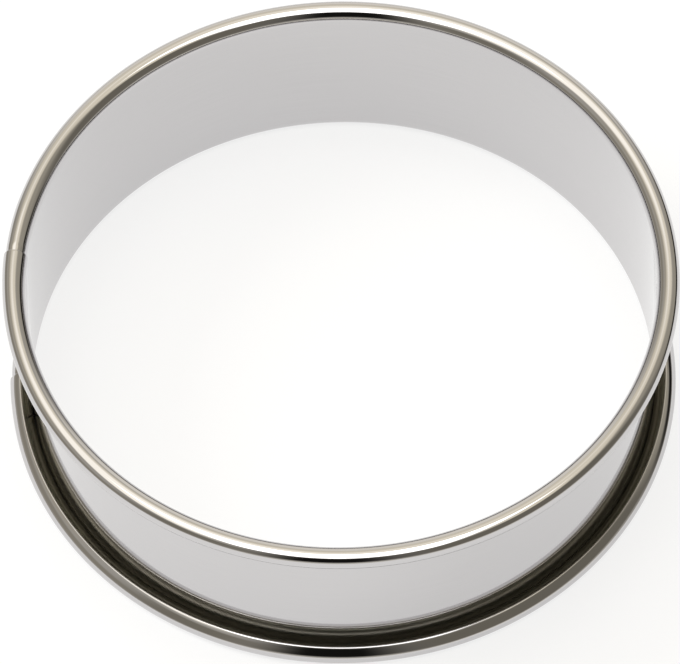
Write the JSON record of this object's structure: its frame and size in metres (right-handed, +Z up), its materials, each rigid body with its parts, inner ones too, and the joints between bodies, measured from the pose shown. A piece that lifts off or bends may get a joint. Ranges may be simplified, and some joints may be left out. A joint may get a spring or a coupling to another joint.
{
  "type": "cake ring",
  "caption": "Round open ring of polished sheet steel with an open curl rolled outwards on both rims and a lapped, spot-welded seam, for baking or cutting small round cakes and muffins.",
  "frame": {"origin": "centre of the ring in the plane of its lower rim", "axes": "+Z up along the ring's axis, -X towards the seam, -Y towards the viewer of the picture"},
  "size_m": [0.0858, 0.0858, 0.0252],
  "materials": {
    "polished_steel": "polished stainless steel sheet",
    "weld_metal": "dull spot weld"
  },
  "bodies": {
    "root": {"ring_band": "polished_steel", "seam_weld_upper": "weld_metal", "seam_weld_middle": "weld_metal", "seam_weld_lower": "weld_metal"}
  },
  "joints": []
}
